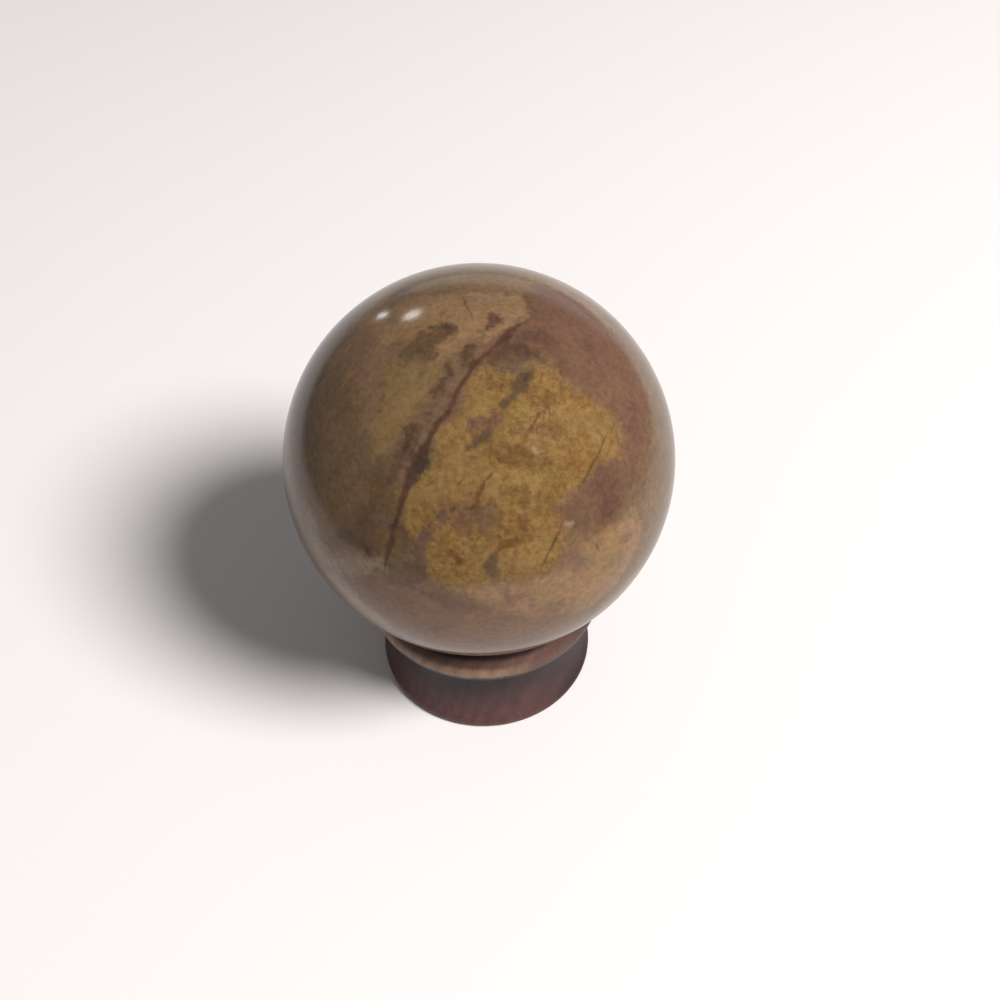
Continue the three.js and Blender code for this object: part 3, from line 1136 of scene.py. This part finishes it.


# Where painted light and shade fall on the wood: what a soft step goes by, where it starts and where it is
# full, in ball radii. The foot's step paints light towards the foot and keeps it off the right side, which
# stays in painted shade. The lip's step paints light on its top, clear of its inner part, which stays dark
# as the ball's painted shade.
# The edge's step is a painted highlight on the lip's edge, at the front and left.
LIGHT_AND_SHADE: dict[str, tuple[tuple[str, float, float], ...]] = {
    "foot": (("height", 0.36, 0.05), ("right", 0.6, 0.2)),
    "lip": (("height", 0.6, 0.625), ("out", 0.61, 0.64), ("facing", -0.5, 0.3)),
    "edge": (("height", 0.605, 0.63), ("out", 0.652, 0.67), ("facing", 0.2, 0.5)),
}


@dataclass(frozen=True)
class LacqueredWood:
    """A close-grained hardwood, turned, stained dark red-brown and lacquered.

    The stain's dark colour carries painted shade under the lip, where the ball's shadow falls and on the
    dim right side.
    It turns lighter and redder towards the foot as painted light on the flare. The lip's top has painted
    light in a mid brown, with its inner part under the ball left dark as painted shade, and a tan painted
    highlight along its edge at the front and left. The lacquer gives a soft shine, broken up by the
    turner's fine tool marks. Lacquer has an index of about 1.5, and it is set a little lower to match this
    stand's weak shine.
    """

    ior: float = 1.42
    roughness: float = 0.42
    shine_spread: float = 0.08
    # Painted shade: the stain's dark colour also stands for the shade under the lip, under the ball and on
    # the right.
    stain: tuple[str, str] = ("2a1e20", "372728")
    # Painted light: lighter and redder towards the foot, as on a flare that catches the light from above.
    foot_stain_and_light: tuple[str, str] = ("4c3330", "61433f")
    # Painted light on the lip's top, in a mid brown; its inner part under the ball stays dark as painted
    # shade.
    lip: tuple[str, str] = ("553f38", "6b5046")
    # Painted highlight: a tan sheen along the lip's edge, brightest at the front and left.
    edge_sheen: tuple[str, str] = ("7a5e4e", "9a7b64")
    # The side where the painted sheen on the lip is brightest.
    sheen_side: Point = (-0.7, -0.71, 0.0)
    fibre_size: float = 0.5 * MM
    fibre_stretch: float = 12.0
    fibre_depth: float = 0.4
    ring_spacing: float = 1.6 * MM
    ring_bend: float = 9.0
    ring_depth: float = 0.18
    pith: Point = (-21 * MM, 13 * MM, 0.0)
    # Noise that makes the edges of the painted light and shade ragged.
    shade_edge_size: float = 2.5 * MM
    shade_edge_depth: float = 1.6 * MM
    shade_edge_out: float = 0.3
    tool_mark: float = 0.35 * MM
    tool_depth: float = 0.03 * MM
    tool_strength: float = 0.15

    def grain(self, recipe: Recipe, place: Socket, level: Socket) -> tuple[Socket, Socket]:
        """The wood's figure, from 0, dark, to 1, light, and its bare fibres.

        The growth rings are round the pith, which lies outside the stand: a sine of the distance
        from it over the rings' spacing. The fibres are noise drawn out along the height.

        Args:
            recipe: where the nodes go.
            place: the place in the stand.
            level: the same with no height.

        Returns:
            The figure and the fibres.
        """
        fibre = recipe.add("Mapping", {"Vector": place, "Scale": (1, 1, 1 / self.fibre_stretch)})
        fibre = recipe.add("TexNoise", {"Vector": fibre, "Scale": 1 / self.fibre_size, **FRACTAL})
        bend = recipe.add("TexNoise", {"Vector": place, "Scale": 1 / (4 * self.ring_spacing)})
        away = recipe.add("VectorMath", {0: level, 1: self.pith}, out="Value", operation="DISTANCE")
        turns = {0: away, 1: 2 * math.pi / self.ring_spacing}
        turns = recipe.add("Math", turns, operation="MULTIPLY")
        turns = recipe.add("Math", {0: bend, 1: self.ring_bend, 2: turns}, operation="MULTIPLY_ADD")
        rings = recipe.add("Math", {0: turns}, operation="SINE")
        rings = recipe.add("Math", {0: rings, 1: self.ring_depth, 2: 0.5}, operation="MULTIPLY_ADD")
        spread = {1: NOISE_LOW, 2: NOISE_HIGH, 3: -self.fibre_depth, 4: self.fibre_depth}
        figure = recipe.add("MapRange", {0: fibre, **spread})
        figure = recipe.add("Math", {0: figure, 1: rings}, operation="ADD", use_clamp=True)
        return figure, fibre

    def light_and_shade(self, recipe: Recipe, place: Socket, level: Socket, radius: float) -> dict[str, Socket]:
        """Where painted light falls on the foot and on the lip's top, and a painted highlight on the lip's
        edge.

        Each is a soft step of the height, of the distance from the axis or of how far round to
        the side of the painted sheen, after noise has moved it a little.

        Args:
            recipe: where the nodes go.
            place: the place in the stand.
            level: the same with no height.
            radius: the ball's radius.

        Returns:
            A share from 0 to 1 for each step of painted light.
        """
        ragged = recipe.add("TexNoise", {"Vector": place, "Scale": 1 / self.shade_edge_size, **FRACTAL})
        shift = {0: ragged, 1: self.shade_edge_depth, 2: -self.shade_edge_depth / 2}
        shift = recipe.add("Math", shift, operation="MULTIPLY_ADD")
        height = recipe.add("SeparateXYZ", {0: place}, out="Z")
        height = recipe.add("Math", {0: height, 1: shift}, operation="ADD")
        right = recipe.add("SeparateXYZ", {0: place}, out="X")
        out = recipe.add("VectorMath", {0: level}, out="Value", operation="LENGTH")
        out = recipe.add("Math", {0: shift, 1: self.shade_edge_out, 2: out}, operation="MULTIPLY_ADD")
        facing = {0: level, 1: self.sheen_side}
        facing = recipe.add("VectorMath", facing, out="Value", operation="DOT_PRODUCT")
        places = {"height": height, "right": right, "out": out, "facing": facing}
        shares = {}
        for name, steps in LIGHT_AND_SHADE.items():
            share = 1.0
            for what, start, full in steps:
                ends = {0: places[what], 1: start * radius, 2: full * radius, 4: share}
                share = recipe.add("MapRange", ends, **SOFT)
            shares[name] = share
        return shares

    def material(self, ball_radius: float) -> bpy.types.Material:
        """Builds the wood's colours, from its stain with its painted shade up to the painted highlight on
        its edge, and its lacquer.

        Args:
            ball_radius: the radius of the ball that the stand is made for.

        Returns:
            The material.
        """
        recipe = Recipe(bpy.data.materials.new("lacquered hardwood"))
        place = recipe.add("TexCoord", out="Object")
        level = recipe.add("VectorMath", {0: place, 1: (1, 1, 0)}, operation="MULTIPLY")
        figure, fibre = self.grain(recipe, place, level)
        shares = self.light_and_shade(recipe, place, level, ball_radius)
        # The dark stain carries the painted shade, and the steps below lay painted light over it.
        dark, light = self.stain
        colour = recipe.add("Mix", {0: figure, 6: linear(dark), 7: linear(light)}, **COLOURS)
        # Painted light over the painted shade: towards the foot, on the lip's top, and a highlight on its
        # edge.
        layers = {"foot": self.foot_stain_and_light, "lip": self.lip, "edge": self.edge_sheen}
        for name, (dark, light) in layers.items():
            wood = recipe.add("Mix", {0: figure, 6: linear(dark), 7: linear(light)}, **COLOURS)
            colour = recipe.add("Mix", {0: shares[name], 6: colour, 7: wood}, **COLOURS)
        height = recipe.add("SeparateXYZ", {0: place}, out="Z")
        turns = recipe.add("Math", {0: height, 1: self.tool_mark}, operation="DIVIDE")
        marks = recipe.add("CombineXYZ", {"Z": turns})
        marks = recipe.add("TexNoise", {"Vector": marks, "Scale": 1.0, "Detail": 2.0})
        bump = {"Strength": self.tool_strength, "Distance": self.tool_depth, "Height": marks}
        bump = recipe.add("Bump", bump)
        shine = {3: self.roughness - self.shine_spread, 4: self.roughness + self.shine_spread}
        shine = recipe.add("MapRange", {0: fibre, **shine})
        lacquer = {"Base Color": colour, "Roughness": shine, "IOR": self.ior, "Normal": bump}
        recipe.add("OutputMaterial", {"Surface": recipe.add("BsdfPrincipled", lacquer)})
        return recipe.owner


def mesh_piece(name: str, points: np.ndarray, faces: np.ndarray) -> bpy.types.Object:
    """Puts points and four-sided faces into a smooth mesh object at the origin.

    Args:
        name: the piece's name.
        points: rows of three coordinates, in metres.
        faces: rows of four point numbers, anticlockwise from outside.

    Returns:
        The linked object.
    """
    mesh = bpy.data.meshes.new(name)
    mesh.from_pydata(points, [], faces.tolist())
    mesh.polygons.foreach_set("use_smooth", np.ones(len(faces), bool))
    mesh.update()
    piece = bpy.data.objects.new(name, mesh)
    bpy.context.scene.collection.objects.link(piece)
    return piece


# ---------------------------------------------------------------- the studio


@dataclass(frozen=True)
class Lamp:
    """A round or long lamp, as the ball sees it.

    `bearing` is counted from the front round to the right and `height` up from level. `wide` and
    `tall` are its size as seen from there, turned by `roll`. All of them are in degrees. It shows
    in a shine where it is `mirrored`, and lights what is matt where it `lights`.
    """

    name: str
    bearing: float
    height: float
    wide: float
    tall: float
    distance: float
    radiance: float
    roll: float = 0.0
    mirrored: bool = True
    lights: bool = False

    def build(self, target: Vector) -> None:
        """Hangs the lamp so that it faces the target.

        Its power is its radiance times its area times pi, so it looks the same at any distance.

        Args:
            target: where it shines to.
        """
        bearing, height = math.radians(self.bearing), math.radians(self.height)
        towards = Vector(
            (
                math.sin(bearing) * math.cos(height),
                -math.cos(bearing) * math.cos(height),
                math.sin(height),
            )
        )
        light = bpy.data.lights.new(self.name, "AREA")
        light.shape = "ELLIPSE"
        light.size = 2 * self.distance * math.tan(math.radians(self.wide / 2))
        light.size_y = 2 * self.distance * math.tan(math.radians(self.tall / 2))
        face_area = math.pi / 4 * light.size * light.size_y
        light.energy = self.radiance * face_area * math.pi
        lamp = bpy.data.objects.new(self.name, light)
        lamp.location = target + towards * self.distance
        turn = towards.to_track_quat("Z", "Y") @ Quaternion((0, 0, 1), math.radians(self.roll))
        lamp.rotation_euler = turn.to_euler()
        lamp.visible_camera = False
        lamp.visible_glossy = self.mirrored
        lamp.visible_diffuse = self.lights
        bpy.context.scene.collection.objects.link(lamp)


@dataclass(frozen=True)
class Studio:
    """A white table in a dim room, with one large soft lamp high on the right.

    The eye and a mirroring surface don't see the same room. For the eye the floor runs on past
    the table, under an even pale backdrop. A mirroring surface sees the floor only as far as the
    table's edge, and the dim room beyond, with the two far lamps but not the key lamp.

    The table's front is round, about a point `table_middle` metres behind the stand's axis, and
    its sides spread by `table_flare` for each metre further back. Its near part is dimmer in a
    mirror than its far part, which lies in the glow of a pale wall. That wall is an oval about
    the horizon, in sines of angles.
    """

    floor_size: float = 6.0
    floor_colour: str = "f3edeb"
    floor_roughness: float = 0.6
    table_middle: float = 0.045
    table_radius: float = 0.15
    table_flare: float = 0.6
    table_blur: float = 0.03
    near_dimness: float = 0.42
    far_dimness: float = 0.06
    dim_range: tuple[float, float] = (-0.05, 0.2)
    room: float = 0.225
    wall: float = 0.9
    wall_centre: float = 0.13
    wall_half: tuple[float, float] = (0.48, 0.225)
    wall_fade: tuple[float, float] = (1.25, 0.75)
    wall_behind: tuple[float, float] = (0.3, 0.4)
    backdrop: float = 0.85
    key: Lamp = Lamp(
        "key lamp", bearing=59.3, height=49.4, wide=20.5, tall=20.5, distance=1.2, radiance=43.0,
        mirrored=False, lights=True,
    )
    far_lamps: tuple[Lamp, ...] = (
        Lamp(
            "long lamp", bearing=-153, height=29, wide=6.6, tall=6.0, distance=0.62, radiance=9.0,
            roll=-30,
        ),
        Lamp(
            "round lamp", bearing=-149.5, height=12.5, wide=2.8, tall=5.6, distance=0.6, radiance=8.0,
        ),
    )

    def build(self, target: Vector) -> None:
        """Lays the table, hangs the lamps and fills the room.

        Args:
            target: where the lamps shine to.
        """
        half = self.floor_size / 2
        corners = np.array([(-half, -half, 0), (half, -half, 0), (half, half, 0), (-half, half, 0)])
        table = mesh_piece("table_top", corners, np.array([[0, 1, 2, 3]]))
        table.data.materials.append(self.table_paint())
        for lamp in (self.key, *self.far_lamps):
            lamp.build(target)
        self.fill_room()

    def table_paint(self) -> bpy.types.Material:
        """White paint that a mirroring surface sees only as far as the table's edge.

        How far a place lies from the table's spine is its distance from the nearest point of the
        line that runs back from the table's middle, less the flare for each metre along it.

        Returns:
            The material.
        """
        recipe = Recipe(bpy.data.materials.new("white table paint"))
        place = recipe.add("TexCoord", out="Object")
        middle = (0, self.table_middle, 0)
        ahead = recipe.add("VectorMath", {0: place, 1: middle}, operation="MAXIMUM")
        spine = recipe.add("VectorMath", {0: ahead, 1: (0, 1, 0)}, operation="MULTIPLY")
        away = recipe.add("VectorMath", {0: place, 1: spine}, out="Value", operation="DISTANCE")
        along = recipe.add("VectorMath", {0: spine, 1: middle}, out="Value", operation="DISTANCE")
        away = recipe.add("Math", {0: along, 1: -self.table_flare, 2: away}, operation="MULTIPLY_ADD")
        edge = (self.table_radius - self.table_blur, self.table_radius + self.table_blur)
        beyond = recipe.add("MapRange", {0: away, 1: edge[0], 2: edge[1]}, **SOFT)
        back = recipe.add("SeparateXYZ", {0: place}, out="Y")
        near, far = self.dim_range
        dim = {0: back, 1: near, 2: far, 3: self.near_dimness, 4: self.far_dimness}
        dim = recipe.add("MapRange", dim)
        paint = {"Base Color": linear(self.floor_colour), "Roughness": self.floor_roughness}
        paint = recipe.add("BsdfPrincipled", paint)
        mirrored = recipe.add("LightPath", out="Is Glossy Ray")
        share = recipe.add("Math", {0: beyond, 1: dim}, operation="MAXIMUM")
        share = recipe.add("Math", {0: share, 1: mirrored}, operation="MULTIPLY")
        shader = recipe.add("MixShader", {0: share, 1: paint, 2: recipe.add("BsdfTransparent")})
        recipe.add("OutputMaterial", {"Surface": shader})
        return recipe.owner

    def fill_room(self) -> None:
        """Gives the world a dim even light, a pale wall behind and a pale backdrop for the eye."""
        recipe = Recipe(bpy.data.worlds.new("dim room"))
        away = recipe.add("TexCoord", out="Generated")
        back = recipe.add("SeparateXYZ", {0: away}, out="Y")
        start, full = self.wall_behind
        behind = recipe.add("MapRange", {0: back, 1: start, 2: full}, **SOFT)
        across, up = self.wall_half
        depthless = 1e6  # so long an oval that its depth plays no part
        oval = {"Vector": away, "Location": (self.wall_centre, 0, 0), "Scale": (across, depthless, up)}
        oval = recipe.add("Mapping", oval, vector_type="TEXTURE")
        from_middle = recipe.add("VectorMath", {0: oval}, out="Value", operation="LENGTH")
        start, full = self.wall_fade
        inside = recipe.add("MapRange", {0: from_middle, 1: start, 2: full}, **SOFT)
        wall = recipe.add("Math", {0: behind, 1: inside}, operation="MULTIPLY")
        mirrored = recipe.add("LightPath", out="Is Glossy Ray")
        mirrored = recipe.add("Math", {0: wall, 1: mirrored}, operation="MULTIPLY")
        strength = recipe.add("MapRange", {0: mirrored, 3: self.room, 4: self.wall})
        seen = recipe.add("LightPath", out="Is Camera Ray")
        strength = recipe.add("MapRange", {0: seen, 3: strength, 4: self.backdrop})
        glow = recipe.add("Background", {"Strength": strength})
        recipe.add("OutputWorld", {"Surface": glow})
        bpy.context.scene.world = recipe.owner


@dataclass(frozen=True)
class Viewpoint:
    """The camera, held above and in front of the ball, a little turned about its own axis.

    `ahead`, `left` and `above` place the ball's centre in the camera's own frame, in ball radii.
    """

    lens: float = 43.2
    sensor: float = 36.0
    tilt: float = 49.23
    roll: float = 1.31
    ahead: float = 6.193
    left: float = 0.106
    above: float = 0.204
    clip: tuple[float, float] = (0.01, 20.0)

    def build(self, centre: Vector, radius: float) -> None:
        """Makes the camera and makes it the scene's own.

        Args:
            centre: the ball's centre.
            radius: the ball's radius.
        """
        tilt, roll = math.radians(self.tilt), math.radians(self.roll)
        forward = Vector((0, math.cos(tilt), -math.sin(tilt)))
        level_up = Vector((0, math.sin(tilt), math.cos(tilt)))
        level_right = Vector((1, 0, 0))
        right = level_right * math.cos(roll) - level_up * math.sin(roll)
        up = level_right * math.sin(roll) + level_up * math.cos(roll)
        place = centre + radius * (right * self.left - up * self.above - forward * self.ahead)
        data = bpy.data.cameras.new("camera")
        data.lens, data.sensor_width = self.lens, self.sensor
        data.clip_start, data.clip_end = self.clip
        camera = bpy.data.objects.new("camera", data)
        turn = Matrix((right, up, -forward)).transposed()
        camera.matrix_world = Matrix.Translation(place) @ turn.to_4x4()
        bpy.context.scene.collection.objects.link(camera)
        bpy.context.scene.camera = camera


def main() -> None:
    """Builds the camera, the pieces and the studio in order, and reports each piece."""
    logging.basicConfig(level=logging.INFO, format="%(message)s")
    bpy.context.scene.view_settings.view_transform = "Standard"
    low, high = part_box("stone_sphere")
    centre, radius = (low + high) / 2, (high.x - low.x) / 2
    Viewpoint().build(centre, radius)
    pieces = [
        JasperBall(centre, radius).build(PolishedJasper()),
        RingStand(radius).build(LacqueredWood()),
    ]
    for piece in pieces:
        mesh = piece.data
        log.info("%s: %d faces, %s", piece.name, len(mesh.polygons), mesh.materials[0].name)
    Studio().build(centre)


if __name__ == "__main__":
    main()
